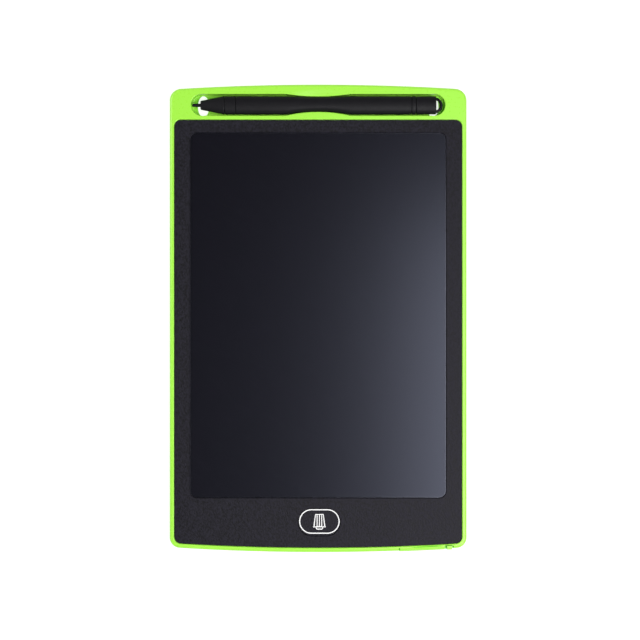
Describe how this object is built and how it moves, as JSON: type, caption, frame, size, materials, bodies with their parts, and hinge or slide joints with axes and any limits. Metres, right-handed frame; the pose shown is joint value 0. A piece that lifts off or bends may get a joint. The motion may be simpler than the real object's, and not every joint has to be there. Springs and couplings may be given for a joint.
{
  "type": "lcd writing tablet",
  "caption": "Slim rectangular LCD writing tablet in a rimmed shell, with a stylus in a trough along its top rail, an erase button and a coin cell drawer.",
  "frame": {"origin": "under the middle of the outline, on the surface that the tablet lies on with its screen up", "axes": "+X to the right and +Y towards the stylus rail as seen from the front, +Z out of the screen"},
  "size_m": [0.1438, 0.2266, 0.0071],
  "materials": {
    "lime_plastic": "satin",
    "black_texture": "fine grain",
    "screen_film": "gloss",
    "white_tape": "matte",
    "black_sheet": "matte",
    "grey_board": "matte",
    "green_circuit": "solder mask",
    "chip_black": "matte",
    "switch_black": "satin",
    "plunger_red": "satin",
    "cream_plastic": "satin",
    "amber_film": "satin",
    "ceramic_tan": "matte",
    "ferrite_grey": "matte",
    "spring_brass": "satin",
    "cell_steel": "satin",
    "screw_steel": "satin",
    "stylus_black": "satin"
  },
  "bodies": {
    "tablet": {"rear_shell": "lime_plastic", "front_panel": "black_texture", "screen_tape": "white_tape", "writing_screen": "screen_film", "backing_sheet": "black_sheet", "support_board": "grey_board", "circuit_board": "green_circuit", "circuit_screw_1": "screw_steel", "circuit_screw_2": "screw_steel", "circuit_screw_3": "screw_steel", "driver_chip": "chip_black", "boost_coil": "ferrite_grey", "capacitor_1": "ceramic_tan", "capacitor_2": "ceramic_tan", "screen_connector": "cream_plastic", "screen_flex": "amber_film", "erase_switch_base": "switch_black", "positive_contact": "spring_brass", "negative_contact": "spring_brass", "lock_switch_base": "switch_black"},
    "erase_button": {"erase_button_cap": "black_texture", "erase_switch_plunger": "plunger_red"},
    "battery_drawer": {"battery_tray": "lime_plastic", "coin_cell": "cell_steel"},
    "drawer_latch": {"battery_latch": "lime_plastic"},
    "lock": {"lock_slider": "switch_black", "lock_switch_lever": "cream_plastic"},
    "stylus": {"stylus_nib": "stylus_black", "stylus_nose": "stylus_black", "stylus_barrel": "stylus_black", "stylus_tail_cap": "stylus_black"}
  },
  "joints": [
    {"name": "stylus_lift", "type": "slide", "parent": "tablet", "child": "stylus", "axis": [0, 0, 1], "range_m": [0, 0.012]},
    {"name": "erase_press", "type": "slide", "parent": "tablet", "child": "erase_button", "axis": [0, 0, -1], "range_m": [0, 0.0003], "stiffness_N_per_m": 2000},
    {"name": "tray_slide", "type": "slide", "parent": "tablet", "child": "battery_drawer", "axis": [0, -1, 0], "range_m": [0, 0.026]},
    {"name": "latch_flex", "type": "hinge", "parent": "battery_drawer", "child": "drawer_latch", "pos_m": [0.0645, -0.09495, 0.0025], "axis": [0, 0, -1], "range_deg": [0, 2.5], "stiffness_Nm_per_rad": 0.12},
    {"name": "lock_slide", "type": "slide", "parent": "tablet", "child": "lock", "axis": [1, 0, 0], "range_m": [0, 0.002]}
  ]
}
